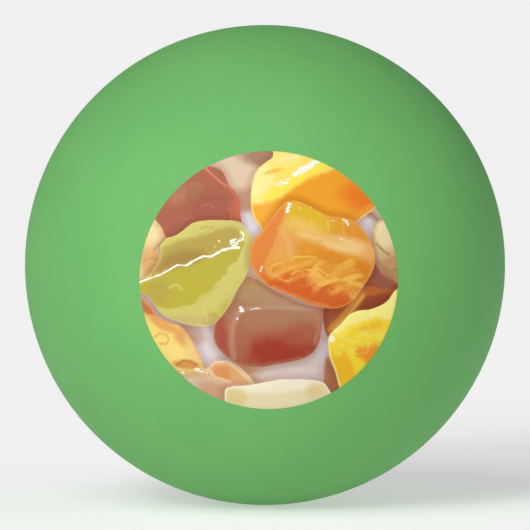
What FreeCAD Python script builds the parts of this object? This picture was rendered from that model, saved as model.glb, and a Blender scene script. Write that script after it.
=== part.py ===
import FreeCAD, Part
import math
import os
import Sketcher

# A seamed table tennis ball: two moulded cups cemented at a lap joint, with a
# round printed picture on the front cup. Millimetres. The origin is the ball's
# centre, the picture faces -Y, +Z is up, and every piece is turned about Y.

document = FreeCAD.newDocument("table_tennis_ball")

# Driving sizes. Each one can be changed in the spreadsheet.
driving_sizes = [
    ("ball_diameter", "40", "outside of the finished ball"),
    ("wall", "0.52", "moulded wall, which sets the ball's mass"),
    ("lap_length", "1.2", "how far the front cup's tongue goes into the rear cup"),
    ("cement_gap", "0.05", "cement film between the two cups"),
    ("rim_chamfer", "0.1", "broken outer edge of each cup's rim"),
    ("cement_sink", "0.06", "how far the cement lies below the ball's surface"),
    ("bead_foot", "0.15", "how far squeezed-out cement spreads along the inside"),
    ("bead_height", "0.12", "height of the squeezed-out cement inside"),
    ("print_diameter", "21.2", "across the round picture"),
    ("base_margin", "0.15", "how much smaller the white base is, all round"),
    ("ink_film", "0.03", "thickness of each layer of ink"),
]

# Sizes worked out from the driving ones.
derived_sizes = [
    ("outer_radius", "=ball_diameter / 2"),
    ("inner_radius", "=outer_radius - wall"),
    ("tongue_radius", "=outer_radius - wall / 2 - cement_gap / 2"),
    ("rebate_radius", "=tongue_radius + cement_gap"),
    ("butt_level", "=cement_gap / 2"),
    ("edge_level", "=butt_level + rim_chamfer"),
    ("edge_reach", "=outer_radius - rim_chamfer"),
    ("shoulder_level", "=lap_length + cement_gap"),
    ("fill_reach", "=outer_radius - cement_sink"),
    ("fill_level", "=edge_level - cement_sink"),
    ("bead_top", "=shoulder_level + bead_foot"),
    ("bead_bottom", "=lap_length - bead_foot"),
    ("bead_reach", "=inner_radius - bead_height"),
    ("crest_top", "=shoulder_level"),
    ("crest_bottom", "=lap_length"),
    ("print_radius", "=print_diameter / 2"),
    ("base_radius", "=print_radius - base_margin"),
    ("step_reach", "=base_radius + ink_film"),
    ("base_top", "=outer_radius + ink_film"),
    ("picture_top", "=outer_radius + 2 * ink_film"),
]

sheet = document.addObject("Spreadsheet::Sheet", "sizes")
row = 1
for name, value, meaning in driving_sizes:
    sheet.set("A" + str(row), name)
    sheet.set("B" + str(row), value)
    sheet.set("C" + str(row), meaning)
    sheet.setAlias("B" + str(row), name)
    row = row + 1
for name, formula in derived_sizes:
    sheet.set("A" + str(row), name)
    sheet.set("B" + str(row), formula)
    sheet.setAlias("B" + str(row), name)
    row = row + 1
document.recompute()


def size(name):
    return float(sheet.get(name))


class Corner:
    """A corner of a half section. It lies on the turning axis, or at a level
    (height along the axis) or a reach (distance from the axis), or both."""

    def __init__(self, level=None, reach=None, sphere=None, side=1):
        self.level = level
        self.reach = reach
        self.sphere = sphere
        self.side = side

    def place(self):
        if self.level and self.reach:
            return FreeCAD.Vector(size(self.reach), self.side * size(self.level), 0)
        radius = size(self.sphere)
        if self.level:
            along = size(self.level)
            return FreeCAD.Vector(math.sqrt(radius**2 - along**2), self.side * along, 0)
        across = size(self.reach) if self.reach else 0.0
        return FreeCAD.Vector(across, self.side * math.sqrt(radius**2 - across**2), 0)


def arc_between(start, end):
    """The arc about the origin between two points, and whether it runs from
    end to start: a sketch keeps its arcs anticlockwise."""
    start_angle = math.atan2(start.y, start.x)
    end_angle = math.atan2(end.y, end.x)
    circle = Part.Circle(FreeCAD.Vector(0, 0, 0), FreeCAD.Vector(0, 0, 1), start.Length)
    low = min(start_angle, end_angle)
    high = max(start_angle, end_angle)
    return Part.ArcOfCircle(circle, low, high), start_angle > end_angle


def turned_piece(name, corners):
    """A body made by turning a closed half section about the Y axis. The edge
    between two corners of one sphere is an arc, and any other is a line."""
    body = document.addObject("PartDesign::Body", name)
    body.Label = name
    body.Placement = FreeCAD.Placement()
    plane = [part for part in body.Origin.OriginFeatures if part.Role == "XY_Plane"][0]
    sketch = body.newObject("Sketcher::SketchObject", name + "_section")
    sketch.AttachmentSupport = [(plane, "")]
    sketch.MapMode = "FlatFace"

    count = len(corners)
    start_point = []
    end_point = []
    arcs = []
    for index in range(count):
        here = corners[index]
        after = corners[(index + 1) % count]
        flipped = False
        if here.sphere and here.sphere == after.sphere:
            edge, flipped = arc_between(here.place(), after.place())
            arcs.append(index)
        else:
            edge = Part.LineSegment(here.place(), after.place())
        sketch.addGeometry(edge, False)
        start_point.append(2 if flipped else 1)
        end_point.append(1 if flipped else 2)

    def bind(constraint, alias):
        number = sketch.addConstraint(constraint)
        label = alias + "_" + str(number)
        sketch.renameConstraint(number, label)
        sketch.setExpression("Constraints." + label, "<<sizes>>." + alias)

    origin = (-1, 1)
    for index in range(count):
        after = (index + 1) % count
        joined = (index, end_point[index], after, start_point[after])
        sketch.addConstraint(Sketcher.Constraint("Coincident", *joined))
    for index in arcs:
        sketch.addConstraint(Sketcher.Constraint("Coincident", index, 3, *origin))
        alias = corners[index].sphere
        bind(Sketcher.Constraint("Radius", index, size(alias)), alias)
    for index in range(count):
        corner = corners[index]
        point = (index, start_point[index])
        if not corner.level and not corner.reach:
            sketch.addConstraint(Sketcher.Constraint("PointOnObject", *point, -2))
        if corner.reach:
            across = Sketcher.Constraint("DistanceX", *origin, *point, size(corner.reach))
            bind(across, corner.reach)
        if corner.level:
            low_to_high = (*origin, *point) if corner.side > 0 else (*point, *origin)
            along = Sketcher.Constraint("DistanceY", *low_to_high, size(corner.level))
            bind(along, corner.level)
    solved = sketch.solve()

    turn = body.newObject("PartDesign::Revolution", name + "_turn")
    turn.Profile = sketch
    turn.ReferenceAxis = (sketch, ["V_Axis"])
    turn.Angle = 360
    document.recompute()
    if solved != 0 or not sketch.FullyConstrained:
        raise RuntimeError(name + ": the section is not fully constrained")
    return body


FRONT = -1
REAR = 1

# Front cup: its inner half wall runs on past the middle as a tongue.
front_cup = turned_piece("front_cup", [
    Corner(sphere="outer_radius", side=FRONT),
    Corner(level="edge_level", sphere="outer_radius", side=FRONT),
    Corner(level="butt_level", reach="edge_reach", side=FRONT),
    Corner(level="butt_level", sphere="tongue_radius", side=FRONT),
    Corner(level="lap_length", sphere="tongue_radius", side=REAR),
    Corner(level="lap_length", sphere="inner_radius", side=REAR),
    Corner(sphere="inner_radius", side=FRONT),
])

# Rear cup: its rim is cut back on the inside to take the tongue.
rear_cup = turned_piece("rear_cup", [
    Corner(sphere="outer_radius", side=REAR),
    Corner(level="edge_level", sphere="outer_radius", side=REAR),
    Corner(level="butt_level", reach="edge_reach", side=REAR),
    Corner(level="butt_level", sphere="rebate_radius", side=REAR),
    Corner(level="shoulder_level", sphere="rebate_radius", side=REAR),
    Corner(level="shoulder_level", sphere="inner_radius", side=REAR),
    Corner(sphere="inner_radius", side=REAR),
])

# Cement: fills the joint from the groove outside to a low bead inside.
seam_cement = turned_piece("seam_cement", [
    Corner(level="fill_level", reach="fill_reach", side=FRONT),
    Corner(level="fill_level", reach="fill_reach", side=REAR),
    Corner(level="butt_level", reach="edge_reach", side=REAR),
    Corner(level="butt_level", sphere="rebate_radius", side=REAR),
    Corner(level="shoulder_level", sphere="rebate_radius", side=REAR),
    Corner(level="shoulder_level", sphere="inner_radius", side=REAR),
    Corner(level="bead_top", sphere="inner_radius", side=REAR),
    Corner(level="crest_top", reach="bead_reach", side=REAR),
    Corner(level="crest_bottom", reach="bead_reach", side=REAR),
    Corner(level="bead_bottom", sphere="inner_radius", side=REAR),
    Corner(level="lap_length", sphere="inner_radius", side=REAR),
    Corner(level="lap_length", sphere="tongue_radius", side=REAR),
    Corner(level="butt_level", sphere="tongue_radius", side=FRONT),
    Corner(level="butt_level", reach="edge_reach", side=FRONT),
])

# White base coat, straight on the front cup.
print_white_base = turned_piece("print_white_base", [
    Corner(sphere="outer_radius", side=FRONT),
    Corner(reach="base_radius", sphere="outer_radius", side=FRONT),
    Corner(reach="base_radius", sphere="base_top", side=FRONT),
    Corner(sphere="base_top", side=FRONT),
])

# Picture: over the white base, and down its edge onto the cup all round.
print_picture = turned_piece("print_picture", [
    Corner(sphere="base_top", side=FRONT),
    Corner(reach="base_radius", sphere="base_top", side=FRONT),
    Corner(reach="base_radius", sphere="outer_radius", side=FRONT),
    Corner(reach="print_radius", sphere="outer_radius", side=FRONT),
    Corner(reach="print_radius", sphere="base_top", side=FRONT),
    Corner(reach="step_reach", sphere="base_top", side=FRONT),
    Corner(reach="step_reach", sphere="picture_top", side=FRONT),
    Corner(sphere="picture_top", side=FRONT),
])

pieces = [front_cup, rear_cup, seam_cement, print_white_base, print_picture]

document.recompute()

for item in document.Objects:
    if "Invalid" in item.State or "Error" in item.State:
        raise RuntimeError(item.Name + " did not recompute")
os.makedirs("parts", exist_ok=True)
for piece in pieces:
    shape = piece.Shape
    if shape.isNull() or not shape.isValid() or len(shape.Solids) != 1:
        raise RuntimeError(piece.Label + " is not one valid solid")
    shape.exportStep("parts/" + piece.Label + ".step")
    print(piece.Label, "volume", round(shape.Volume, 3), "mm3")

# Two solids may touch but not share space.
for index, first in enumerate(pieces):
    for second in pieces[index + 1:]:
        shared = first.Shape.common(second.Shape).Volume
        if shared > 0.001:
            raise RuntimeError(first.Label + " and " + second.Label + " overlap")
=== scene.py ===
import math
import bmesh
import bpy
import numpy as np
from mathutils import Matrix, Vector


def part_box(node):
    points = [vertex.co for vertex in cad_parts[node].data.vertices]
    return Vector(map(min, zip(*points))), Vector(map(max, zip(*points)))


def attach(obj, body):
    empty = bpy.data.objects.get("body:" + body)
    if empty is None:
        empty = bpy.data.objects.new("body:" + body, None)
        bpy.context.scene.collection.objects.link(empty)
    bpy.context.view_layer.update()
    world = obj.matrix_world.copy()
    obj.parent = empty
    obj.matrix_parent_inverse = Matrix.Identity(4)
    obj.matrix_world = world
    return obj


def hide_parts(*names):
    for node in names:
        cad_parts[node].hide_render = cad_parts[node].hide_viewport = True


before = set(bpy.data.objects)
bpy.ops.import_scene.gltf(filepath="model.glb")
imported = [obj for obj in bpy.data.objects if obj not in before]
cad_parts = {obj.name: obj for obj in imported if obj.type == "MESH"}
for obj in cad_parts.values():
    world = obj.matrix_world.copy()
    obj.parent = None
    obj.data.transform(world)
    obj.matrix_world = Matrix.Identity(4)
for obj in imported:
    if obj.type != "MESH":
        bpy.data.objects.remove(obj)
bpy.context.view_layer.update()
mm = 0.001
sharpEdge = math.radians(40)  # edges that turn by more than this stay crisp

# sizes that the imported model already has
cupLow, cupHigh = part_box("front_cup")
pictureLow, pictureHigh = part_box("print_picture")
baseLow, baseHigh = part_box("print_white_base")
ballRadius = round((cupHigh.x - cupLow.x) / 2, 5)
pictureRadius = round((pictureHigh.x - pictureLow.x) / 2, 5)
baseRadius = round((baseHigh.x - baseLow.x) / 2, 5)
pictureTop = round(-pictureLow.y, 5)
baseTop = round(-baseLow.y, 5)
lapLength = round(cupHigh.y, 5)
print("frame loaded, ball radius", ballRadius)


def tint(red, green, blue):
    # a colour as a screen shows it, 0 to 255, turned into light
    def light(value):
        share = value / 255
        return share / 12.92 if share <= 0.04045 else ((share + 0.055) / 1.055) ** 2.4
    return (light(red), light(green), light(blue), 1.0)


class Wire:
    # a socket that can stand in a sum, as in 1 - mask
    def __init__(self, paint, socket):
        self.paint = paint
        self.socket = socket

    def __add__(self, other):
        return self.paint.maths("ADD", self, other)

    def __sub__(self, other):
        return self.paint.maths("SUBTRACT", self, other)

    def __rsub__(self, other):
        return self.paint.maths("SUBTRACT", other, self)

    def __mul__(self, other):
        return self.paint.maths("MULTIPLY", self, other)

    __radd__ = __add__
    __rmul__ = __mul__


class Paint:
    # one material and the nodes in it
    def __init__(self, name):
        self.material = bpy.data.materials.new(name)
        self.material.use_nodes = True
        self.tree = self.material.node_tree
        self.tree.nodes.clear()

    def node(self, kind, settings=None, sockets=None, out=0):
        made = self.tree.nodes.new(kind)
        for key, value in (settings or {}).items():
            setattr(made, key, value)
        for key, value in (sockets or {}).items():
            socket = made.inputs[key]
            if isinstance(value, Wire):
                self.tree.links.new(value.socket, socket)
            else:
                socket.default_value = value
        return Wire(self, made.outputs[out]) if made.outputs else None

    def maths(self, operation, first, second=0.0):
        return self.node("ShaderNodeMath", {"operation": operation}, {0: first, 1: second})

    def vector(self, operation, first, second=(0.0, 0.0, 0.0), out=0):
        return self.node("ShaderNodeVectorMath", {"operation": operation}, {0: first, 1: second}, out)

    def scaled(self, vector, scale):
        return self.node("ShaderNodeVectorMath", {"operation": "SCALE"}, {0: vector, "Scale": scale})

    def mixed(self, below, above, share, way="MIX"):
        settings = {"data_type": "RGBA", "blend_type": way}
        return self.node("ShaderNodeMix", settings, {0: share, 6: below, 7: above}, 2)

    def ease(self, value, low, high, start=0.0, end=1.0):
        # a smooth step from start to end as value goes from low to high
        sockets = {"Value": value, "From Min": low, "From Max": high, "To Min": start, "To Max": end}
        return self.node("ShaderNodeMapRange", {"interpolation_type": "SMOOTHSTEP"}, sockets)

    def noise(self, vector, scale, detail=2.0, roughness=0.5, distortion=0.0):
        sockets = {"Vector": vector, "Scale": scale, "Detail": detail,
                   "Roughness": roughness, "Distortion": distortion}
        return self.node("ShaderNodeTexNoise", {"noise_dimensions": "3D"}, sockets)

    def field(self, name):
        settings = {"attribute_type": "GEOMETRY", "attribute_name": name}
        return self.node("ShaderNodeAttribute", settings, out=2)

    def finish(self, sockets, bump=None):
        if bump:
            height, strength, distance = bump
            sockets["Normal"] = self.node("ShaderNodeBump", None,
                                          {"Height": height, "Strength": strength, "Distance": distance})
        shader = self.node("ShaderNodeBsdfPrincipled", None, sockets)
        self.node("ShaderNodeOutputMaterial", None, {"Surface": shader})
        return self.material


def discGrid(cells):
    # a unit disc of quads with no pinched middle: a square grid pushed out to the circle
    spots = []
    for row in range(cells + 1):
        for column in range(cells + 1):
            across = 2 * column / cells - 1
            up = 2 * row / cells - 1
            if abs(across) < 1e-9 and abs(up) < 1e-9:
                spots.append((0.0, 0.0))
            elif abs(across) > abs(up):
                angle = math.pi / 4 * up / across
                spots.append((across * math.cos(angle), across * math.sin(angle)))
            else:
                angle = math.pi / 2 - math.pi / 4 * across / up
                spots.append((up * math.cos(angle), up * math.sin(angle)))
    wide = cells + 1
    quads = []
    for row in range(cells):
        for column in range(cells):
            corner = row * wide + column
            quads.append((corner, corner + 1, corner + wide + 1, corner + wide))
    right = [row * wide + cells for row in range(cells)]
    top = [cells * wide + column for column in range(cells, 0, -1)]
    left = [row * wide for row in range(cells, 0, -1)]
    bottom = [column for column in range(cells)]
    return spots, quads, bottom + right + top + left


def turnedPiece(name, cells, outerCap, rings, innerCap, side):
    # a closed skin: a cap, rings out and back, and a cap inside it.
    # a cap is (sphere radius, reach of its edge), a ring is (reach, level).
    # side is -1 for a piece whose pole faces -Y and 1 for one that faces +Y
    spots, quads, border = discGrid(cells)
    places = []
    faces = []
    for radius, reach in (outerCap, innerCap):
        widest = math.asin(reach / radius)
        start = len(places)
        for across, up in spots:
            out = math.hypot(across, up)
            angle = out * widest
            spread = radius * math.sin(angle) / out if out > 0 else 0.0
            places.append((across * spread, side * radius * math.cos(angle), up * spread))
        faces += [tuple(start + corner for corner in quad) for quad in quads]
    outerLoop = list(border)
    innerLoop = [len(spots) + corner for corner in border]
    loops = [outerLoop]
    for reach, level in rings:
        loop = []
        for corner in border:
            across, up = spots[corner]
            loop.append(len(places))
            places.append((across * reach, level, up * reach))
        loops.append(loop)
    loops.append(innerLoop)
    for near, far in zip(loops, loops[1:]):
        for index in range(len(near)):
            after = (index + 1) % len(near)
            faces.append((near[index], near[after], far[after], far[index]))
    return meshPiece(name, places, faces)


def meshPiece(name, places, faces):
    mesh = bpy.data.meshes.new(name)
    mesh.from_pydata(places, [], faces)
    work = bmesh.new()
    work.from_mesh(mesh)
    bmesh.ops.recalc_face_normals(work, faces=work.faces)
    work.to_mesh(mesh)
    work.free()
    mesh.shade_smooth()
    mesh.set_sharp_from_angle(angle=sharpEdge)
    piece = bpy.data.objects.new(name, mesh)
    bpy.context.scene.collection.objects.link(piece)
    return piece


def alongSphere(radius, startLevel, endLevel, steps):
    # ring places on a sphere, evenly spaced by angle, both ends included
    start = math.asin(startLevel / radius)
    end = math.asin(endLevel / radius)
    angles = [start + (end - start) * step / steps for step in range(steps + 1)]
    return [(radius * math.cos(angle), radius * math.sin(angle)) for angle in angles]


def onSphere(radius, reach):
    return math.sqrt(radius**2 - reach**2)


# the two cups and the cement between them
cups = {
    "wall": 0.52 * mm,
    "cementGap": 0.05 * mm,
    "rimChamfer": 0.10 * mm,
    "cells": 48,  # quads along a quarter of the ball's girth
    "capReach": 11.6 * mm,  # how far the quads reach before the rings begin
    "ringsOutside": 26,
    "ringsInside": 14,
    "rimSteps": 4,
    "lapSteps": 4,
}

innerRadius = ballRadius - cups["wall"]
tongueRadius = ballRadius - cups["wall"] / 2 - cups["cementGap"] / 2
rebateRadius = tongueRadius + cups["cementGap"]
buttLevel = cups["cementGap"] / 2
rimReach = ballRadius - cups["rimChamfer"]


def cupRim(side):
    # the broken edge from the outside round to the butt face, as a short curve
    rim = []
    for step in range(1, cups["rimSteps"]):
        turn = math.pi / 2 * step / cups["rimSteps"]
        reach = rimReach + cups["rimChamfer"] * (1 - math.sin(turn))
        level = buttLevel + cups["rimChamfer"] * (1 - math.cos(turn))
        rim.append((reach, level))
    rim = sorted(rim, key=lambda place: -place[1])
    return [(reach, side * level) for reach, level in rim] + [(rimReach, side * buttLevel)]


def makeFrontCup():
    capLevel = -onSphere(ballRadius, cups["capReach"])
    edgeLevel = -(buttLevel + cups["rimChamfer"])
    rings = alongSphere(ballRadius, capLevel, edgeLevel, cups["ringsOutside"])[1:]
    rings += cupRim(-1)
    rings += alongSphere(tongueRadius, -buttLevel, lapLength, cups["lapSteps"])
    innerCapLevel = -onSphere(innerRadius, cups["capReach"])
    rings += alongSphere(innerRadius, lapLength, innerCapLevel, cups["ringsInside"])[:-1]
    return turnedPiece("frontCup", cups["cells"], (ballRadius, cups["capReach"]), rings,
                       (innerRadius, cups["capReach"]), -1)


def makeRearCup():
    capLevel = onSphere(ballRadius, cups["capReach"])
    edgeLevel = buttLevel + cups["rimChamfer"]
    shoulder = lapLength + cups["cementGap"]
    rings = alongSphere(ballRadius, capLevel, edgeLevel, cups["ringsOutside"])[1:]
    rings += cupRim(1)
    rings += alongSphere(rebateRadius, buttLevel, shoulder, cups["lapSteps"])
    innerCapLevel = onSphere(innerRadius, cups["capReach"])
    rings += alongSphere(innerRadius, shoulder, innerCapLevel, cups["ringsInside"])[:-1]
    return turnedPiece("rearCup", cups["cells"], (ballRadius, cups["capReach"]), rings,
                       (innerRadius, cups["capReach"]), 1)


cement = {
    "sink": 0.055 * mm,
    "unevenness": 0.012 * mm,  # how much the cement's level wanders round the seam
    "beadFoot": 0.15 * mm,
    "beadHeight": 0.12 * mm,
    "beadTuck": 0.004 * mm,    # how far the bead's foot stands off the wall
    "hollow": 0.008 * mm,      # how far the outer line dips in its middle
    "fillShare": 0.42,         # how much of the rims' broken edges it fills
    "around": 384,
    "lapSteps": 3,
    "beadSteps": 6,
    "colour": tint(84, 152, 78),
    "paler": tint(98, 168, 90),
    "streak": 0.6 * mm,
}


def makeCement():
    fillReach = ballRadius - cement["sink"]
    fillLevel = buttLevel + cups["rimChamfer"] * cement["fillShare"]
    shoulder = lapLength + cups["cementGap"]
    middle = lapLength + cups["cementGap"] / 2
    section = [
        (fillReach, -fillLevel),
        (fillReach - cement["hollow"], 0.0),
        (fillReach, fillLevel),
    ]
    section += [(rimReach, buttLevel)]
    section += alongSphere(rebateRadius, buttLevel, shoulder, cement["lapSteps"])
    section += [(innerRadius, shoulder)]
    for step in range(cement["beadSteps"] + 1):
        turn = math.pi * step / cement["beadSteps"]
        reach = innerRadius - cement["beadTuck"] - cement["beadHeight"] * math.sin(turn)
        section.append((reach, middle + (cement["beadFoot"] + buttLevel) * math.cos(turn)))
    section += [(innerRadius, lapLength)]
    section += alongSphere(tongueRadius, lapLength, -buttLevel, cement["lapSteps"])
    section += [(rimReach, -buttLevel)]
    places = []
    faces = []
    count = len(section)
    for turn in range(cement["around"]):
        angle = 2 * math.pi * turn / cement["around"]
        wander = math.sin(3 * angle + 1) + 0.6 * math.sin(11 * angle) + 0.4 * math.sin(29 * angle + 2)
        for index, (reach, level) in enumerate(section):
            lift = cement["unevenness"] * wander / 2 if index < 3 else 0.0
            places.append(((reach + lift) * math.cos(angle), level, (reach + lift) * math.sin(angle)))
        after = (turn + 1) % cement["around"]
        for index in range(count):
            follow = (index + 1) % count
            faces.append((turn * count + index, turn * count + follow,
                          after * count + follow, after * count + index))
    return meshPiece("cementRing", places, faces)


plastic = {
    "colour": tint(98, 167, 91),
    "paler": tint(109, 175, 101),
    "roughness": 0.70,
    "ior": 1.40,
    "cloud": 9.0 * mm,     # size of the slow changes in colour
    "speck": 0.9 * mm,
    "grain": 0.16 * mm,    # size of the tumbled grain
    "grainDepth": 0.004 * mm,
    "inside": 0.12,        # how much light goes into the wall
    "insideDepth": 0.6 * mm,
}


def makePlastic():
    paint = Paint("tumbledGreenPlastic")
    place = paint.node("ShaderNodeTexCoord", out=3)
    cloud = paint.noise(place, 1 / plastic["cloud"], 3.0, 0.55)
    speck = paint.noise(place, 1 / plastic["speck"], 2.0, 0.6)
    grain = paint.noise(place, 1 / plastic["grain"], 2.0, 0.6)
    shade = paint.ease(cloud * 0.75 + speck * 0.25, 0.36, 0.64)
    colour = paint.mixed(plastic["colour"], plastic["paler"], shade * 0.35)
    roughness = plastic["roughness"] + (speck - 0.5) * 0.10 + (cloud - 0.5) * 0.08
    sockets = {
        "Base Color": colour,
        "Roughness": roughness,
        "IOR": plastic["ior"],
        "Subsurface Weight": plastic["inside"],
        "Subsurface Radius": (0.5, 1.0, 0.4),
        "Subsurface Scale": plastic["insideDepth"],
    }
    return paint.finish(sockets, (grain + speck * 0.5, 0.35, plastic["grainDepth"]))


def makeCementFinish():
    paint = Paint("seamCement")
    place = paint.node("ShaderNodeTexCoord", out=3)
    streak = paint.noise(place, 1 / cement["streak"], 3.0, 0.6)
    colour = paint.mixed(cement["colour"], cement["paler"], streak)
    return paint.finish({"Base Color": colour, "Roughness": 0.3 + streak * 0.2})


plasticFinish = makePlastic()
frontCup = makeFrontCup()
rearCup = makeRearCup()
cementRing = makeCement()
frontCup.data.materials.append(plasticFinish)
rearCup.data.materials.append(plasticFinish)
cementRing.data.materials.append(makeCementFinish())
print("cups and cement made")

# the printed picture: jellied fruit sweets, drawn in millimetres from its middle
picture = {
    "cells": 128,
    "lightFrom": (-0.45, 0.89),  # which way the drawn light comes from, across and up
    "wobble": 0.09,              # how far an edge wanders, in millimetres
    "cloud": 0.6,                # these four are noises, in waves to a millimetre
    "ripple": 2.4,
    "marble": 0.42,
    "fleck": 2.1,
    "reach": 2.0,                # how far round an outline the picture is measured, in millimetres
    "roughness": 0.62,
    "specular": 0.05,
    "exposure": 0.78,            # how far the ink's colours are held down under the studio light
    "castTint": tint(186, 138, 112),  # what a sweet's shadow multiplies the one behind by
    "wetTint": tint(255, 252, 240),
}

# a shade is a soft oval: across, up, half width, half height, turn, colour, softness, strength
table = {
    "colour": tint(214, 198, 192),
    "shades": [
        (-2.2, 8.6, 3.0, 2.2, 0, tint(228, 202, 172), 0.9, 0.95),
        (-0.4, 10.3, 1.9, 0.9, 0, tint(168, 122, 98), 0.9, 0.9),
        (-1.7, 6.6, 1.2, 1.1, 0, tint(200, 156, 128), 0.9, 0.9),
        (-1.5, 4.3, 1.7, 1.4, 30, tint(233, 227, 232), 0.7, 1.0),
        (8.2, 5.1, 1.2, 0.6, -35, tint(182, 128, 98), 0.9, 0.9),
        (8.1, 4.3, 1.1, 0.9, -35, tint(230, 222, 226), 0.8, 0.9),
        (-0.9, 0.7, 1.1, 0.9, -30, tint(234, 206, 172), 0.8, 0.9),
        (-5.2, -5.4, 1.0, 1.8, 20, tint(228, 216, 220), 0.8, 0.95),
        (-6.4, -4.2, 1.3, 0.8, -30, tint(198, 164, 148), 0.9, 0.9),
        (-1.9, -7.5, 2.2, 0.7, -12, tint(208, 162, 120), 0.9, 0.9),
        (1.4, -7.6, 2.6, 0.6, 4, tint(224, 206, 198), 0.8, 0.9),
        (4.6, -4.6, 0.6, 2.2, 0, tint(220, 206, 212), 0.8, 0.9),
    ],
}

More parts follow.
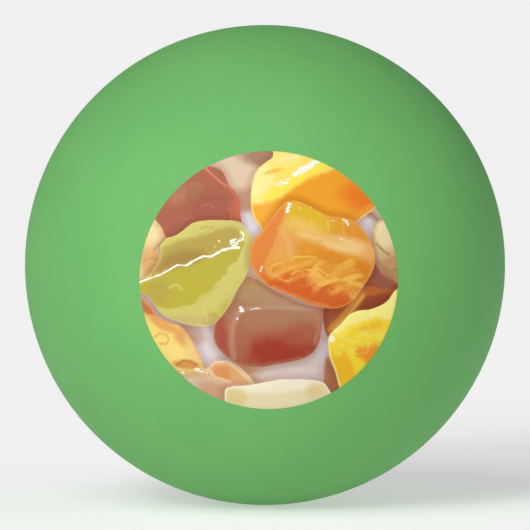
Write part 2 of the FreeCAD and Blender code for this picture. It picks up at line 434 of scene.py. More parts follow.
# each sweet, from the one lying furthest back to the one in front.
# a patch is an outline, its colour, softness, raggedness and strength.
# a line is its places, colour, half width and strength
sweets = [
    {
        "name": "beigeFudge",
        "outline": [(9.2, 5.0), (8.5, 4.0), (8.6, 2.4), (9.1, 1.0), (10.0, 0.0), (10.8, -0.6),
                    (11.6, 1.6), (10.6, 4.2)],
        "colour": tint(224, 200, 144),
        "shades": [
            (9.6, 4.0, 1.0, 1.2, 0, tint(240, 222, 168), 0.9, 0.9),
            (10.0, 0.9, 1.2, 1.4, 20, tint(196, 148, 100), 0.9, 0.9),
        ],
        "lines": [
            ([(8.9, 3.0), (9.4, 2.4), (9.9, 2.1)], tint(160, 116, 74), 0.09, 0.7),
            ([(9.5, 1.1), (9.9, 0.7), (10.5, 0.9)], tint(172, 120, 80), 0.10, 0.5),
        ],
        "rim": (tint(186, 138, 94), 0.4, 0.5),
        "swell": (1.6, 0.25),
        "edge": 0.10,
        "cast": 0.4,
    },
    {
        "name": "cocoaJelly",
        "outline": [(8.5, 1.5), (9.4, 0.5), (10.9, -0.6), (10.4, -1.8), (8.3, -2.8), (6.9, -3.4),
                    (5.0, -4.6), (4.4, -3.2), (4.6, -2.0), (6.6, -1.6), (7.8, -0.3)],
        "colour": tint(160, 86, 56),
        "shades": [
            (8.8, -0.9, 1.7, 0.35, -8, tint(196, 106, 46), 0.8, 0.9),
            (9.2, 0.5, 1.2, 0.9, -40, tint(156, 94, 76), 0.9, 0.9),
            (8.8, -1.7, 1.4, 0.5, 15, tint(150, 72, 44), 0.8, 0.9),
        ],
        "patches": [
            ([(7.4, -0.9), (7.9, -1.1), (7.0, -2.4), (6.2, -3.4), (5.2, -4.4), (4.8, -3.8), (5.6, -3.0),
              (6.6, -1.8)], tint(216, 150, 62), 0.22, 0.1, 0.95),
        ],
        "lines": [([(7.7, -1.2), (6.6, -2.6), (5.2, -3.9)], tint(240, 190, 116), 0.07, 0.7)],
        "rim": (tint(190, 110, 80), 0.3, 0.3),
        "swell": (1.0, 0.15),
        "edge": 0.12,
        "cast": 0.3,
    },
    {
        "name": "cinnamonDrop",
        "outline": [(4.8, -6.2), (5.4, -7.2), (6.4, -9.4), (4.8, -9.6), (4.5, -8.2), (4.5, -7.0)],
        "colour": tint(172, 108, 80),
        "shades": [(5.3, -8.6, 0.8, 1.2, 0, tint(180, 116, 80), 0.9, 0.8)],
        "rim": (tint(198, 150, 130), 0.3, 0.5),
        "swell": (0.8, 0.2),
        "edge": 0.14,
        "cast": 0.2,
    },
    {
        "name": "peachCube",
        "outline": [(-8.6, -6.6), (-7.4, -7.1), (-6.0, -7.0), (-5.1, -7.1), (-4.5, -6.6), (-3.3, -6.5),
                    (-2.3, -7.1), (-1.5, -7.9), (-1.1, -8.8), (-1.8, -9.6), (-3.6, -10.8), (-6.4, -10.0)],
        "colour": tint(226, 192, 158),
        "shades": [
            (-3.8, -7.5, 1.2, 0.75, -20, tint(226, 150, 84), 0.8, 0.95),
            (-2.5, -7.9, 0.9, 0.5, -40, tint(228, 176, 116), 0.8, 0.9),
            (-6.6, -7.5, 1.5, 0.5, -15, tint(234, 206, 132), 0.8, 0.9),
            (-5.8, -8.6, 1.2, 0.8, -30, tint(230, 200, 176), 0.8, 0.8),
            (-4.0, -9.4, 2.0, 0.9, -25, tint(206, 154, 122), 0.8, 0.8),
        ],
        "lines": [
            ([(-5.0, -7.2), (-4.4, -7.9), (-3.2, -8.3)], tint(248, 216, 168), 0.10, 0.7),
            ([(-3.3, -6.7), (-2.5, -7.3), (-1.6, -8.2)], tint(250, 222, 170), 0.07, 0.7),
        ],
        "rim": (tint(240, 214, 176), 0.25, 0.7),
        "swell": (0.9, 0.25),
        "edge": 0.08,
        "cast": 0.3,
    },
    {
        "name": "lemonPeach",
        "outline": [(-10.6, -1.4), (-9.7, -2.1), (-9.1, -2.9), (-8.1, -3.4), (-7.2, -3.7), (-6.4, -4.7),
                    (-5.8, -5.8), (-5.4, -6.8), (-5.5, -7.5), (-7.4, -7.5), (-9.0, -6.4), (-10.4, -4.0)],
        "colour": tint(248, 218, 122),
        "shades": [
            (-9.9, -2.1, 1.2, 0.7, -40, tint(190, 106, 64), 0.9, 0.95),
            (-8.6, -3.6, 1.5, 0.4, -25, tint(228, 164, 92), 0.8, 0.95),
            (-7.0, -4.6, 0.9, 0.7, -50, tint(226, 164, 96), 0.9, 0.9),
            (-6.1, -5.9, 0.5, 1.3, 28, tint(244, 206, 138), 0.8, 0.9),
            (-6.8, -6.9, 1.1, 0.4, -5, tint(218, 146, 82), 0.8, 0.9),
            (-7.9, -5.7, 1.0, 0.7, -40, tint(250, 224, 134), 0.8, 0.8),
        ],
        "lines": [
            ([(-9.3, -4.6), (-8.9, -4.3), (-8.4, -4.4), (-8.2, -4.8), (-8.4, -5.2), (-8.9, -5.2)],
             tint(232, 172, 92), 0.09, 0.75),
            ([(-7.5, -6.9), (-7.0, -6.55), (-6.4, -6.6), (-6.0, -6.9)], tint(196, 116, 62), 0.10, 0.7),
        ],
        "rim": (tint(232, 176, 104), 0.3, 0.7),
        "swell": (1.2, 0.2),
        "edge": 0.10,
        "cast": 0.4,
    },
    {
        "name": "creamPeach",
        "outline": [(-9.2, 5.3), (-8.5, 4.5), (-8.15, 3.7), (-8.8, 3.1), (-9.1, 2.7), (-8.9, 2.2),
                    (-9.0, 1.5), (-9.4, 0.9), (-10.6, 0.0), (-11.4, 2.4), (-10.4, 4.4)],
        "colour": tint(246, 216, 158),
        "shades": [
            (-9.0, 4.2, 0.8, 1.0, 0, tint(252, 228, 170), 0.8, 0.9),
            (-9.8, 1.5, 0.9, 1.2, 20, tint(222, 172, 110), 0.9, 0.9),
        ],
        "lines": [
            ([(-8.6, 3.3), (-9.1, 2.9), (-9.4, 2.5)], tint(206, 156, 100), 0.10, 0.7),
            ([(-10.2, 1.6), (-9.7, 1.9), (-9.2, 1.8)], tint(200, 146, 90), 0.09, 0.6),
            ([(-9.8, 0.9), (-9.5, 1.3), (-9.1, 1.4)], tint(206, 152, 94), 0.08, 0.5),
        ],
        "rim": (tint(224, 178, 122), 0.25, 0.5),
        "swell": (1.0, 0.2),
        "edge": 0.08,
        "cast": 0.35,
    },
    {
        "name": "cherryChew",
        "outline": [(-5.2, 9.3), (-4.5, 9.35), (-3.8, 9.0), (-3.45, 8.3), (-3.2, 7.8), (-2.75, 7.4),
                    (-2.4, 6.6), (-2.35, 5.6), (-2.5, 4.4), (-5.2, 4.0), (-7.4, 3.4), (-8.3, 3.4),
                    (-8.8, 4.4), (-9.4, 5.4), (-8.6, 7.2), (-7.0, 8.8)],
        "colour": tint(174, 104, 82),
        "shades": [
            (-6.4, 7.2, 1.2, 0.9, 20, tint(170, 118, 88), 0.9, 0.8),
            (-4.3, 8.8, 0.8, 0.4, -20, tint(168, 108, 80), 0.8, 0.8),
            (-4.8, 6.0, 2.0, 1.4, 0, tint(166, 96, 76), 0.9, 0.8),
            (-2.9, 5.4, 0.5, 1.2, 0, tint(192, 108, 80), 0.8, 0.8),
            (-7.7, 4.6, 1.3, 1.0, 0, tint(172, 104, 84), 0.9, 0.8),
            (-7.5, 6.9, 0.9, 0.5, 50, tint(188, 124, 98), 0.9, 0.6),
        ],
        "lines": [
            ([(-5.3, 9.3), (-4.5, 8.6), (-3.8, 8.0), (-3.2, 7.75)], tint(226, 132, 112), 0.09, 0.9),
            ([(-3.2, 7.7), (-2.65, 7.1), (-2.5, 6.2), (-2.55, 5.2)], tint(208, 112, 88), 0.20, 0.8),
            ([(-7.8, 6.6), (-7.6, 7.0), (-7.1, 7.0), (-6.9, 6.6)], tint(196, 128, 104), 0.10, 0.6),
            ([(-6.4, 7.9), (-5.9, 8.1), (-5.5, 7.8)], tint(194, 124, 100), 0.08, 0.5),
            ([(-5.5, 6.2), (-5.0, 6.4), (-4.5, 6.1)], tint(198, 122, 100), 0.08, 0.5),
            ([(-3.6, 5.9), (-3.3, 5.3), (-3.6, 4.8)], tint(150, 74, 62), 0.10, 0.5),
            ([(-6.9, 5.1), (-6.4, 5.3), (-6.0, 5.0)], tint(192, 118, 98), 0.07, 0.45),
        ],
        "rim": (tint(206, 112, 90), 0.16, 0.6),
        "swell": (1.3, 0.15),
        "edge": 0.06,
        "cast": 0.4,
    },
    {
        "name": "mangoSlice",
        "outline": [(0.45, 11.4), (0.35, 10.2), (-0.2, 9.75), (-0.95, 9.1), (-1.35, 8.15), (-1.5, 6.9),
                    (-1.4, 5.8), (-1.0, 4.9), (0.4, 3.6), (5.0, 3.6), (7.8, 5.3), (8.8, 6.1), (8.2, 7.6),
                    (7.2, 9.2), (5.0, 11.2), (2.4, 12.0)],
        "colour": tint(253, 228, 104),
        "shades": [
            (-0.6, 8.0, 1.0, 1.6, -10, tint(254, 238, 158), 0.9, 0.95),
            (1.6, 10.2, 1.6, 0.7, 15, tint(254, 232, 138), 0.8, 0.9),
            (2.6, 8.5, 2.6, 0.5, 30, tint(255, 234, 84), 0.8, 0.9),
            (0.6, 7.4, 1.4, 0.5, 25, tint(255, 232, 92), 0.8, 0.9),
            (0.3, 9.0, 0.8, 0.16, 16, tint(246, 190, 88), 0.7, 0.9),
        ],
        "patches": [
            ([(-1.8, 6.1), (-0.4, 6.35), (0.7, 6.8), (1.9, 7.6), (3.0, 8.3), (4.4, 8.8), (6.4, 9.3),
              (9.6, 9.0), (9.6, 5.0), (5.0, 2.6), (-1.0, 3.4)], tint(242, 164, 48), 0.28, 0.35, 1.0),
            ([(5.8, 7.2), (6.8, 8.0), (8.2, 8.2), (9.4, 6.6), (8.2, 5.6), (6.8, 6.0)],
             tint(239, 124, 38), 0.9, 0.5, 0.95),
            ([(-1.7, 6.1), (-0.8, 6.2), (0.2, 6.6), (0.8, 6.0), (0.4, 4.6), (-1.0, 4.2)],
             tint(248, 176, 66), 0.5, 0.3, 0.8),
        ],
        "lines": [
            ([(5.6, 4.6), (7.0, 5.2), (8.4, 6.1)], tint(250, 172, 70), 0.20, 0.6),
            ([(1.0, 9.9), (2.4, 10.2)], tint(255, 244, 190), 0.12, 0.5),
        ],
        "rim": (tint(254, 232, 134), 0.22, 0.8),
        "swell": (1.3, 0.08),
        "edge": 0.05,
        "cast": 0.35,
    },
    {
        "name": "berryBlock",
        "outline": [(-1.9, 0.5), (-1.0, 0.25), (-0.1, -0.4), (1.4, -1.2), (3.1, -1.9), (4.25, -2.1),
                    (4.4, -2.6), (4.3, -3.9), (4.1, -5.0), (3.5, -5.9), (2.5, -6.4), (1.1, -6.7),
                    (-0.7, -7.0), (-2.1, -6.9), (-3.0, -6.5), (-3.7, -5.95), (-4.35, -5.2), (-4.55, -4.25),
                    (-4.3, -3.2), (-3.7, -2.5), (-3.0, -1.5), (-2.5, -0.4)],
        "colour": tint(180, 120, 94),
        "shades": [
            (-1.4, -0.8, 1.8, 1.1, -20, tint(178, 143, 94), 1.1, 1.0),
            (0.9, -1.7, 2.8, 0.6, -18, tint(178, 140, 110), 1.1, 0.95),
            (0.6, -2.8, 3.3, 0.8, -4, tint(175, 124, 94), 1.2, 0.9),
            (0.7, -5.6, 3.7, 1.5, 6, tint(166, 62, 46), 1.3, 1.0),
            (2.8, -4.3, 1.6, 0.9, 10, tint(174, 96, 70), 1.1, 0.7),
            (-3.9, -4.4, 0.7, 1.6, 8, tint(172, 84, 66), 1.1, 0.95),
            (-2.4, -4.7, 0.8, 1.7, 4, tint(172, 108, 82), 1.1, 0.85),
            (-2.6, -2.1, 0.8, 0.7, 30, tint(170, 124, 96), 1.1, 0.85),
        ],
        "lines": [
            ([(-2.6, -2.6), (-3.0, -3.7), (-3.1, -5.0), (-2.9, -6.2)], tint(204, 152, 130), 0.22, 0.55),
            ([(-2.4, -2.4), (-1.8, -2.1), (0.4, -2.0), (4.0, -2.2)], tint(200, 158, 134), 0.16, 0.5),
            ([(3.9, -2.4), (4.05, -3.8), (3.8, -5.0)], tint(196, 138, 114), 0.16, 0.5),
            ([(-2.8, -6.7), (-0.8, -6.85), (1.2, -6.55), (2.6, -6.2)], tint(186, 112, 86), 0.12, 0.5),
        ],
        "rim": (tint(190, 124, 100), 0.22, 0.5),
        "swell": (1.4, 0.12),
        "edge": 0.06,
        "cast": 0.45,
    },
    {
        "name": "limeLeaf",
        "outline": [(-11.2, -0.5), (-9.8, 0.5), (-9.1, 1.5), (-8.85, 2.2), (-8.9, 2.9), (-8.4, 3.5),
                    (-7.7, 3.75), (-7.0, 4.2), (-6.25, 4.8), (-5.1, 5.05), (-3.7, 5.08), (-2.45, 4.95),
                    (-1.95, 4.4), (-1.3, 3.5), (-1.55, 2.7), (-1.65, 1.5), (-2.0, 0.4), (-2.65, -0.6),
                    (-3.25, -1.8), (-4.1, -3.0), (-4.8, -3.55), (-6.2, -3.6), (-7.45, -3.3), (-8.5, -2.9),
                    (-9.2, -2.2), (-9.8, -1.35), (-10.6, -1.0)],
        "colour": tint(210, 201, 112),
        "shades": [
            (-3.0, -2.2, 1.0, 1.2, -30, tint(200, 182, 84), 0.9, 0.8),
            (-4.6, -3.1, 0.7, 0.6, 0, tint(190, 168, 80), 0.9, 0.8),
            (-2.0, 3.2, 0.6, 1.6, -12, tint(214, 208, 122), 0.9, 0.9),
            (-6.4, -3.1, 1.8, 0.35, 0, tint(206, 186, 120), 0.9, 0.8),
            (-3.2, 4.6, 2.0, 0.4, 0, tint(206, 194, 112), 0.9, 0.9),
            (-9.9, -1.5, 0.7, 0.8, 20, tint(168, 146, 92), 0.9, 0.9),
        ],
        "patches": [
            ([(-10.8, -0.6), (-9.4, 0.5), (-7.8, 1.3), (-6.4, 1.6), (-5.2, 2.2), (-3.9, 2.8), (-2.6, 3.3),
              (-1.95, 3.9), (-2.1, 3.0), (-2.35, 2.5), (-2.65, 1.8), (-3.35, 1.4), (-3.6, 0.7), (-4.3, 0.1),
              (-4.9, -0.7), (-5.8, -1.15), (-6.0, -1.7), (-6.8, -2.0), (-7.8, -2.2), (-8.6, -2.25),
              (-9.3, -1.9), (-9.8, -1.2)], tint(190, 178, 68), 0.07, 0.34, 1.0),
            ([(-9.9, 0.5), (-9.0, 1.6), (-8.7, 2.6), (-7.4, 3.4), (-5.9, 3.7), (-4.4, 4.3), (-2.9, 4.5),
              (-2.3, 3.8), (-3.2, 2.95), (-3.9, 2.6), (-5.2, 2.0), (-6.4, 1.5), (-7.8, 1.2)],
             tint(183, 161, 82), 0.30, 0.4, 0.95),
            ([(-9.6, 0.5), (-9.0, 1.3), (-8.2, 2.2), (-6.8, 2.6), (-5.6, 2.6), (-5.2, 2.1), (-6.4, 1.5),
              (-7.8, 1.1)], tint(170, 138, 72), 0.4, 0.4, 0.95),
            ([(-7.6, -0.6), (-6.2, 0.6), (-4.6, 0.6), (-5.0, -0.8), (-6.4, -1.6), (-7.4, -1.6)],
             tint(192, 180, 62), 0.7, 0.5, 0.8),
            ([(-9.8, -0.4), (-8.8, 0.3), (-8.2, -0.8), (-8.6, -1.9), (-9.4, -1.5)],
             tint(184, 164, 78), 0.5, 0.4, 0.8),
        ],
        "lines": [
            ([(-8.1, -0.5), (-7.8, -0.25), (-7.4, -0.3), (-7.2, -0.65)], tint(214, 204, 116), 0.10, 0.7),
            ([(-5.5, -2.1), (-5.2, -2.6), (-5.1, -3.2)], tint(224, 212, 130), 0.09, 0.5),
            ([(-5.6, 4.35), (-5.1, 4.55), (-4.6, 4.45)], tint(176, 150, 82), 0.08, 0.45),
            ([(-5.6, 4.15), (-5.0, 4.0), (-4.6, 4.2)], tint(212, 198, 122), 0.08, 0.4),
        ],
        "rim": (tint(222, 210, 126), 0.12, 0.6),
        "swell": (1.3, 0.07),
        "edge": 0.05,
        "cast": 0.35,
    },
    {
        "name": "orangeGum",
        "outline": [(-1.6, 2.3), (-1.3, 3.4), (-0.6, 4.2), (0.3, 5.4), (1.1, 6.35), (1.7, 6.65),
                    (2.6, 6.55), (3.7, 6.0), (4.8, 5.45), (6.0, 5.25), (7.0, 4.9), (7.7, 4.2),
                    (8.4, 3.1), (8.7, 1.8), (8.4, 0.6), (7.7, -0.4), (7.0, -1.4), (6.1, -2.0),
                    (4.9, -2.15), (3.4, -1.8), (1.8, -1.1), (0.1, -0.35), (-0.9, 0.5), (-1.45, 1.4)],
        "colour": tint(227, 156, 54),
        "shades": [
            (3.1, 5.2, 2.1, 1.1, -22, tint(224, 184, 50), 1.0, 1.0),
            (2.6, 4.4, 1.6, 0.8, -20, tint(236, 196, 98), 1.0, 0.9),
            (1.3, 2.9, 1.1, 1.5, -30, tint(230, 166, 90), 1.0, 0.8),
            (4.2, 2.2, 2.2, 0.6, -12, tint(224, 142, 42), 1.0, 0.9),
            (7.2, 4.0, 0.9, 1.0, 20, tint(228, 150, 54), 0.9, 0.8),
            (6.3, 3.0, 2.5, 0.6, -15, tint(244, 202, 132), 1.0, 1.0),
            (8.1, 2.2, 0.6, 0.8, 0, tint(238, 176, 100), 0.9, 0.9),
            (7.6, 0.8, 0.7, 0.9, -15, tint(222, 130, 42), 0.9, 0.9),
            (4.6, 3.6, 1.6, 0.3, -14, tint(234, 184, 104), 0.9, 0.8),
        ],
        "patches": [
            ([(-2.0, 2.3), (-1.6, 3.6), (-0.6, 4.6), (0.4, 5.6), (1.2, 6.2), (1.35, 5.8), (0.9, 4.4),
              (0.5, 3.2), (-0.2, 1.9), (-0.3, 0.9), (-0.1, 0.2), (-1.2, 0.2)],
             tint(225, 132, 66), 0.28, 0.25, 0.9),
            ([(-0.5, 0.5), (0.6, 0.75), (2.0, 0.95), (3.4, 1.0), (4.6, 0.4), (5.6, -0.5), (6.8, -0.9),
              (6.6, -2.4), (3.4, -2.4), (0.2, -1.0)], tint(214, 100, 44), 0.75, 1.1, 0.97),
        ],
        "marbling": (tint(245, 192, 92), 0.85, [(2.6, 1.4, 2.8, 1.2, 8), (5.4, 1.0, 2.2, 1.6, 30),
                                                (7.1, -0.3, 0.9, 1.4, 20)]),
        "lines": [
            ([(1.55, 6.1), (1.0, 4.6), (0.4, 3.0), (-0.25, 1.6), (-0.2, 0.7)],
             tint(238, 170, 96), 0.12, 0.5),
            ([(0.3, 0.5), (1.2, 0.9), (2.3, 1.5)], tint(238, 170, 88), 0.14, 0.5),
            ([(2.4, 4.0), (4.4, 3.5), (6.2, 2.9), (7.8, 2.8)], tint(242, 200, 128), 0.16, 0.55),
            ([(0.3, -0.3), (1.9, -0.95), (3.5, -1.6), (4.9, -1.95)], tint(238, 150, 84), 0.12, 0.5),
            ([(6.1, 4.9), (6.0, 4.1), (6.6, 3.5)], tint(240, 180, 84), 0.10, 0.5),
            ([(0.2, 0.6), (1.3, 1.2), (2.4, 1.3), (3.8, 1.9)], tint(246, 190, 96), 0.20, 0.42),
            ([(1.5, 0.1), (2.8, 0.7), (3.9, 0.5)], tint(242, 178, 82), 0.18, 0.38),
            ([(3.8, -0.5), (4.8, 0.3), (5.8, 1.1), (6.8, 1.5)], tint(244, 190, 98), 0.22, 0.42),
            ([(5.1, -0.9), (6.2, -0.3), (7.3, -0.2)], tint(240, 174, 84), 0.18, 0.38),
            ([(0.9, 4.4), (1.6, 3.4), (1.7, 2.4)], tint(240, 184, 112), 0.22, 0.45),
            ([(4.8, 5.0), (4.9, 4.2)], tint(242, 204, 110), 0.10, 0.5),
        ],
        "rim": (tint(238, 166, 88), 0.18, 0.6),
        "swell": (1.5, 0.10),
        "edge": 0.05,
        "cast": 0.45,
    },
    {
        "name": "lemonDrop",
        "outline": [(4.85, -4.9), (5.05, -4.25), (5.9, -3.45), (6.6, -2.7), (7.4, -2.4), (8.4, -2.3),
                    (9.6, -1.8), (10.8, -0.7), (12.0, -3.0), (10.6, -7.0), (7.7, -9.6), (6.0, -9.1),
                    (5.5, -7.6), (5.0, -6.2)],
        "colour": tint(250, 218, 56),
        "shades": [
            (10.0, -2.2, 1.1, 1.2, 40, tint(253, 240, 140), 0.8, 0.9),
            (6.0, -7.0, 0.8, 2.0, 14, tint(243, 184, 44), 0.9, 0.95),
            (5.6, -5.2, 0.5, 0.9, 0, tint(252, 226, 70), 0.8, 0.7),
            (8.2, -6.1, 0.5, 0.6, 30, tint(240, 118, 48), 0.9, 0.8),
            (5.15, -4.7, 0.22, 0.3, 0, tint(255, 252, 220), 0.9, 0.9),
        ],
        "patches": [
            ([(4.9, -4.4), (5.9, -3.3), (6.8, -2.4), (8.4, -2.1), (10.6, -1.0), (10.4, -3.0), (8.8, -3.0),
              (7.6, -3.4), (6.6, -3.7), (5.8, -4.2)], tint(252, 241, 140), 0.25, 0.5, 0.95),
            ([(7.0, -5.4), (7.8, -5.3), (8.8, -5.2), (9.4, -6.0), (8.6, -7.2), (7.8, -6.8), (7.2, -6.3)],
             tint(243, 156, 46), 0.3, 0.9, 0.9),
            ([(7.3, -3.9), (8.2, -3.5), (9.3, -3.4), (9.2, -4.0), (8.4, -4.4), (7.6, -4.3)],
             tint(246, 190, 60), 0.2, 0.8, 0.85),
        ],
        "marbling": (tint(254, 236, 110), 0.5, [(7.8, -4.9, 2.0, 1.4, 0)]),
        "lines": [],
        "rim": (tint(254, 244, 160), 0.2, 0.8),
        "swell": (1.2, 0.08),
        "edge": 0.05,
        "cast": 0.35,
    },
    {
        "name": "creamFudge",
        "outline": [(-3.6, -9.1), (-3.1, -8.7), (-2.0, -8.6), (-0.9, -8.4), (0.4, -8.15), (1.8, -8.05),
                    (3.2, -8.1), (4.3, -8.3), (4.9, -8.9), (5.1, -10.0), (3.0, -11.8), (-1.2, -12.0),
                    (-3.3, -10.6)],
        "colour": tint(240, 226, 182),
        "shades": [
            (0.8, -8.7, 3.4, 0.5, 4, tint(248, 240, 212), 0.8, 0.9),
            (-2.7, -9.6, 0.9, 0.7, 0, tint(230, 208, 142), 0.9, 0.9),
            (3.9, -9.1, 0.8, 0.7, 10, tint(230, 208, 148), 0.9, 0.8),
        ],
        "lines": [],
        "rim": (tint(252, 246, 222), 0.2, 0.8),
        "swell": (1.1, 0.08),
        "edge": 0.06,
        "cast": 0.3,
    },
]

# wet lights: places along each, half width and strength
gleams = [
    ([(-10.9, -0.3), (-9.7, 0.22), (-8.9, 0.53), (-8.2, 0.94), (-7.5, 1.38), (-6.8, 1.35)], 0.065, 0.95),
    ([(-6.8, 1.35), (-6.0, 1.86), (-5.4, 2.12), (-4.7, 2.14), (-3.9, 2.63), (-3.25, 2.8),
      (-2.5, 2.88)], 0.085, 1.0),
    ([(-2.5, 2.88), (-3.0, 3.05), (-2.6, 3.2), (-3.2, 3.4), (-2.75, 3.55)], 0.085, 1.0),
    ([(-2.6, 3.35), (-2.15, 3.55), (-2.1, 3.9), (-2.3, 4.15)], 0.07, 0.9),
    ([(-4.15, 3.42), (-4.1, 3.36)], 0.06, 0.8),
    ([(-4.5, 2.95), (-4.45, 2.9)], 0.05, 0.7),
    ([(1.65, 6.4), (1.55, 6.1), (1.45, 5.75)], 0.09, 0.9),
    ([(6.0, 5.1), (6.35, 4.95), (6.5, 4.6)], 0.07, 0.8),
    ([(5.85, 3.5), (5.95, 3.48)], 0.08, 0.8),
    ([(-0.6, 1.35), (-0.75, 0.95)], 0.07, 0.6),
    ([(2.1, 8.75), (2.6, 9.2), (3.1, 9.3), (4.1, 9.85)], 0.19, 1.0),
    ([(2.5, 8.75), (3.0, 9.0), (3.6, 9.45)], 0.10, 0.7),
    ([(-2.35, -2.05), (-2.2, -2.25)], 0.14, 0.9),
    ([(-1.5, -2.2), (-1.1, -2.1), (-0.8, -2.12)], 0.06, 0.6),
    ([(-2.65, -2.98), (-2.6, -2.9)], 0.08, 0.75),
]

# where the wet surface breaks into specks: an oval and how strong they are there
sparkles = [
    (1.15, 8.2, 1.0, 0.38, 28, 1.0),
    (2.0, 8.65, 0.7, 0.25, 35, 0.8),
    (1.55, 6.15, 0.40, 0.5, -10, 0.9),
    (2.5, 6.05, 0.35, 0.3, 0, 0.8),
    (3.4, 6.05, 0.55, 0.22, -42, 0.8),
    (5.1, 5.0, 0.6, 0.28, -25, 0.8),
    (6.3, 4.85, 0.45, 0.3, -40, 0.8),
    (-3.0, 3.3, 0.45, 0.35, 20, 0.8),
    (-5.4, -7.45, 1.0, 0.32, -8, 1.0),
    (-7.1, -7.5, 0.7, 0.25, -20, 0.9),
    (-3.6, -7.9, 0.9, 0.25, -30, 0.5),
    (-1.7, -0.6, 1.2, 0.5, -20, 0.35),
    (0.6, -1.3, 1.2, 0.3, -25, 0.3),
    (-2.3, -2.2, 0.4, 0.35, 0, 0.8),
    (6.2, -3.3, 0.7, 0.3, 40, 0.4),
    (8.4, -2.9, 0.8, 0.25, 10, 0.4),
]


def roundOutline(corners, steps=5):
    # a closed curve that passes smoothly through the corners
    count = len(corners)
    spots = []
    for index in range(count):
        nearby = [np.array(corners[(index + shift) % count]) for shift in (-1, 0, 1, 2)]
        before, here, after, beyond = nearby
        for step in range(steps):
            share = step / steps
            straight = (after - before) * share
            bend = (2 * before - 5 * here + 4 * after - beyond) * share**2
            twist = (3 * here - before - 3 * after + beyond) * share**3
            spots.append((2 * here + straight + bend + twist) / 2)
    return np.array(spots, np.float32)


def measureOutline(corners, plan):
    # how far inside the outline each place is, and which way inward is there
    start = roundOutline(corners)
    reach = picture["reach"]
    near = ((plan > start.min(0) - reach) & (plan < start.max(0) + reach)).all(1)
    gap = np.full(len(plan), -reach, np.float32)
    inward = np.zeros((len(plan), 2), np.float32)
    gap[near], inward[near] = measureNear(start, plan[near])
    return gap, inward


def measureNear(start, plan):
    end = np.roll(start, -1, axis=0)
    run = end - start
    apart = plan[:, None, :] - start[None]
    share = np.clip((apart * run).sum(2) / (run**2).sum(1), 0, 1)
    away = apart - share[..., None] * run
    gap = np.sqrt((away**2).sum(2)) + 1e-4
    up = plan[:, 1][:, None]
    crossed = (start[:, 1] > up) != (end[:, 1] > up)
    level = start[:, 0] + (up - start[:, 1]) / (end[:, 1] - start[:, 1] + 1e-9) * run[:, 0]
    inside = (crossed & (plan[:, 0][:, None] < level)).sum(1) % 2 == 1
    weight = np.sqrt((run**2).sum(1)) / gap**3
    inward = (weight[..., None] * away / gap[..., None]).sum(1) / weight.sum(1)[:, None]
    return np.where(inside, gap.min(1), -gap.min(1)), inward


def measureOval(oval, plan):
    # 1 in the middle of the oval, 0 at its edge and below 0 outside
    across, up, wide, high, turn = oval[:5]
    angle = math.radians(turn)
    apart = plan - np.array((across, up))
    along = (apart[:, 0] * math.cos(angle) + apart[:, 1] * math.sin(angle)) / wide
    over = (apart[:, 1] * math.cos(angle) - apart[:, 0] * math.sin(angle)) / high
    return 1 - np.hypot(along, over)


def measurePicture(piece):
    # each sweet's distances are kept on the ink's own points, for its material to read
    mesh = piece.data
    places = np.zeros(len(mesh.vertices) * 3, np.float32)
    mesh.vertices.foreach_get("co", places)
    places = places.reshape(-1, 3)
    shown = np.linalg.norm(places, axis=1) > (pictureTop + baseTop) / 2
    justPastBase = baseRadius + 0.01 * mm
    shown |= np.hypot(places[:, 0], places[:, 2]) > justPastBase
    plan = places[shown][:, (0, 2)] / mm
    light = np.array(picture["lightFrom"])

    def keep(name, values):
        every = np.zeros(len(places), np.float32)
        every[shown] = values
        mesh.attributes.new(name, "FLOAT", "POINT").data.foreach_set("value", every)

    for number, shade in enumerate(table["shades"]):
        keep("tableShade" + str(number), measureOval(shade, plan))
    spots = [(measureOval(sparkle, plan) + 1) * sparkle[5] for sparkle in sparkles]
    keep("sparkle", np.clip(np.max(spots, axis=0), 0, 2) - 1)
    for sweet in sweets:
        name = sweet["name"]
        gap, inward = measureOutline(sweet["outline"], plan)
        slope = np.clip(1 - gap / sweet["swell"][0], 0, 1) ** 1.3
        keep(name + "Gap", gap)
        keep(name + "Lit", -(inward @ light) * slope)
        for number, shade in enumerate(sweet["shades"]):
            keep(name + "Shade" + str(number), measureOval(shade, plan))
        for number, patch in enumerate(sweet.get("patches", [])):
            keep(name + "Patch" + str(number), measureOutline(patch[0], plan)[0])
        if "marbling" in sweet:
            spots = [measureOval(oval, plan) for oval in sweet["marbling"][2]]
            keep(name + "Marbling", np.max(spots, axis=0))


def addLine(paint, plan, places):
    # the distance from a line drawn through the places
    nearest = None
    for (startAcross, startUp), (endAcross, endUp) in zip(places, places[1:]):
        run = Vector((endAcross - startAcross, 0, endUp - startUp))
        apart = paint.vector("SUBTRACT", plan, (startAcross, 0.0, startUp))
        share = paint.vector("DOT_PRODUCT", apart, tuple(run / run.length_squared), 1)
        held = paint.maths("MINIMUM", paint.maths("MAXIMUM", share, 0.0), 1.0)
        gap = paint.vector("DISTANCE", apart, paint.scaled(tuple(run), held), 1)
        nearest = gap if nearest is None else paint.maths("MINIMUM", nearest, gap)
    return nearest


def addShades(paint, colour, name, shades, wander):
    for number, (tone, softness, strength) in enumerate(shade[5:] for shade in shades):
        oval = paint.field(name + "Shade" + str(number)) + wander
        share = paint.ease(oval, -softness / 2, softness / 2, 0.0, strength)
        colour = paint.mixed(colour, tone, share)
    return colour


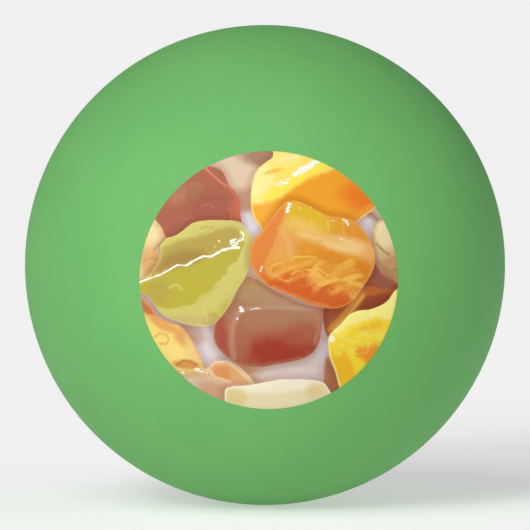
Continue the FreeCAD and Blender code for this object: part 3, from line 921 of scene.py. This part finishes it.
def makePictureInk():
    paint = Paint("fruitSweetsPrint")
    place = paint.node("ShaderNodeTexCoord", out=3)
    plan = paint.vector("MULTIPLY", place, (1 / mm, 0.0, 1 / mm))
    cloud = paint.noise(plan, picture["cloud"], 3.0, 0.6) * 1.1 - 0.55
    ripple = paint.noise(plan, picture["ripple"], 3.0, 0.65) - 0.5
    slanted = paint.vector("MULTIPLY", plan, (1.0, 1.0, 2.1))
    marble = paint.noise(slanted, picture["marble"], 3.0, 0.55, 1.4)
    wobble = (cloud + ripple * 0.5) * picture["wobble"]
    colour = addShades(paint, table["colour"], "table", table["shades"], cloud * 0.5)
    for sweet in sweets:
        name = sweet["name"]
        gap = paint.field(name + "Gap") + wobble
        body = addShades(paint, sweet["colour"], name, sweet["shades"], cloud)
        for number, (_, tone, softness, ragged, strength) in enumerate(sweet.get("patches", [])):
            inside = paint.field(name + "Patch" + str(number)) + (cloud + ripple) * ragged
            body = paint.mixed(body, tone, paint.ease(inside, -softness, softness, 0.0, strength))
        if "marbling" in sweet:
            tone, strength, _ = sweet["marbling"]
            near = paint.ease(paint.field(name + "Marbling") + cloud, -0.35, 0.35, 0.0, strength)
            body = paint.mixed(body, tone, paint.ease(marble, 0.45, 0.60) * near)
        for places, tone, width, strength in sweet.get("lines", []):
            off = addLine(paint, plan, places) + ripple * 0.22
            body = paint.mixed(body, tone, paint.ease(off, 0.0, width * 2, strength, 0.0))
        tone, width, strength = sweet["rim"]
        body = paint.mixed(body, tone, paint.ease(gap, 0.0, width, strength, 0.0))
        lit = paint.field(name + "Lit") * sweet["swell"][1] + (ripple * 0.12 + 1.0)
        body = paint.scaled(body, lit)
        shadow = paint.ease(gap, -0.8, 0.0, 0.0, sweet["cast"])
        colour = paint.mixed(colour, picture["castTint"], shadow, "MULTIPLY")
        cover = paint.ease(gap, -sweet["edge"], sweet["edge"])
        colour = paint.mixed(colour, body, cover)
    fleck = paint.noise(slanted, picture["fleck"], 3.0, 0.7, 0.6)
    wet = paint.ease(fleck + paint.field("sparkle") * 0.22, 0.60, 0.68)
    wet = wet * paint.ease(paint.field("sparkle"), -0.1, 0.1)
    colour = paint.mixed(colour, picture["wetTint"], wet)
    for places, width, strength in gleams:
        gap = addLine(paint, plan, places) + ripple * width * 2.4 + cloud * width
        shine = paint.ease(gap, width * 0.5, width * 1.4, strength, 0.0)
        colour = paint.mixed(colour, picture["wetTint"], shine)
    colour = paint.scaled(colour, picture["exposure"])
    roughness = picture["roughness"] + ripple * 0.12
    sockets = {"Base Color": colour, "Roughness": roughness, "Specular IOR Level": picture["specular"]}
    return paint.finish(sockets)


# the white ink under the picture
base = {
    "cells": 32,
    "colour": tint(238, 236, 230),
    "thinner": tint(222, 230, 214),  # where the green shows through a little
    "mottle": 0.5 * mm,
    "roughness": 0.5,
}


def makeBaseInk():
    paint = Paint("whiteInk")
    place = paint.node("ShaderNodeTexCoord", out=3)
    mottle = paint.noise(place, 1 / base["mottle"], 3.0, 0.6)
    colour = paint.mixed(base["colour"], base["thinner"], paint.ease(mottle, 0.45, 0.75))
    roughness = base["roughness"] + (mottle - 0.5) * 0.2
    return paint.finish({"Base Color": colour, "Roughness": roughness})


whiteBase = turnedPiece("whiteBase", base["cells"], (baseTop, baseRadius), [],
                        (ballRadius, baseRadius), -1)
whiteBase.data.materials.append(makeBaseInk())
film = baseTop - ballRadius
stepReach = baseRadius + film
pictureRings = [
    (stepReach, -onSphere(baseTop, stepReach)),
    (pictureRadius, -onSphere(baseTop, pictureRadius)),
    (pictureRadius, -onSphere(ballRadius, pictureRadius)),
    (baseRadius, -onSphere(ballRadius, baseRadius)),
]
pictureInk = turnedPiece("pictureInk", picture["cells"], (pictureTop, stepReach), pictureRings,
                         (baseTop, baseRadius), -1)
measurePicture(pictureInk)
pictureInk.data.materials.append(makePictureInk())
print("picture made")

for piece, node, slot in (
    (frontCup, "front_cup", "cup_plastic"),
    (rearCup, "rear_cup", "cup_plastic"),
    (cementRing, "seam_cement", "cement"),
    (whiteBase, "print_white_base", "white_ink"),
    (pictureInk, "print_picture", "picture_ink"),
):
    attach(piece, "root")
    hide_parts(node)

# floor, light and camera
studio = {
    "floorSize": 12.0,
    "floorColour": (0.58, 0.58, 0.58, 1.0),
    "floorGlow": 0.435,
    "sky": 0.21,
    "skyShown": 0.90,
    "keyFrom": (-0.42, -0.85, 0.42),
    "keyStrength": 2.0,
    "keyAngle": 25,
    "fillFrom": (0.80, -0.40, 0.28),
    "fillStrength": 0.55,
    "fillAngle": 70,
    "topFrom": (-0.40, -0.66, 0.85),
    "topStrength": 1.0,
    "topAngle": 35,
    "cameraHeight": 4.2,  # degrees above level
    "cameraTurn": -1.03,
    "cameraDistance": 1.1,
    "ballShare": 0.906,  # the ball's outline as a share of half the frame
}


def makeFloor():
    half = studio["floorSize"] / 2
    level = -ballRadius
    places = [(-half, -half, level), (half, -half, level), (half, half, level), (-half, half, level)]
    floor = meshPiece("studioFloor", places, [(0, 1, 2, 3)])
    paint = Paint("palePaper")
    finish = {
        "Base Color": studio["floorColour"],
        "Roughness": 0.9,
        "Specular IOR Level": 0.0,
        "Emission Color": (1.0, 1.0, 1.0, 1.0),
        "Emission Strength": studio["floorGlow"],
    }
    floor.data.materials.append(paint.finish(finish))


def makeSun(name, comesFrom, strength, angle):
    lamp = bpy.data.lights.new(name, "SUN")
    lamp.energy = strength
    lamp.angle = math.radians(angle)
    sun = bpy.data.objects.new(name, lamp)
    sun.rotation_mode = "QUATERNION"
    sun.rotation_quaternion = Vector(comesFrom).to_track_quat("Z", "Y")
    bpy.context.scene.collection.objects.link(sun)


def makeSky():
    world = bpy.data.worlds.new("studioAir")
    world.use_nodes = True
    tree = world.node_tree
    background = tree.nodes["Background"]
    background.inputs["Color"].default_value = (1.0, 1.0, 1.0, 1.0)
    # the air beyond the floor looks as pale as the floor, but lights the ball less
    path = tree.nodes.new("ShaderNodeLightPath")
    strength = tree.nodes.new("ShaderNodeMapRange")
    strength.inputs["To Min"].default_value = studio["sky"]
    strength.inputs["To Max"].default_value = studio["skyShown"]
    tree.links.new(path.outputs["Is Camera Ray"], strength.inputs["Value"])
    tree.links.new(strength.outputs["Result"], background.inputs["Strength"])
    bpy.context.scene.world = world


def makeCamera():
    lens = bpy.data.cameras.new("studioCamera")
    camera = bpy.data.objects.new("studioCamera", lens)
    height = math.radians(studio["cameraHeight"])
    turn = math.radians(studio["cameraTurn"])
    back = Vector((math.sin(turn) * math.cos(height), -math.cos(turn) * math.cos(height),
                   math.sin(height)))
    camera.location = back * studio["cameraDistance"]
    camera.rotation_mode = "QUATERNION"
    camera.rotation_quaternion = back.to_track_quat("Z", "Y")
    outline = ballRadius / math.sqrt(studio["cameraDistance"]**2 - ballRadius**2)
    lens.sensor_width = 36.0
    lens.lens = 18.0 * studio["ballShare"] / outline
    bpy.context.scene.collection.objects.link(camera)
    bpy.context.scene.camera = camera


makeFloor()
makeSun("keyLight", studio["keyFrom"], studio["keyStrength"], studio["keyAngle"])
makeSun("fillLight", studio["fillFrom"], studio["fillStrength"], studio["fillAngle"])
makeSun("topLight", studio["topFrom"], studio["topStrength"], studio["topAngle"])
makeSky()
makeCamera()
bpy.context.scene.view_settings.view_transform = "Standard"
print("studio made")
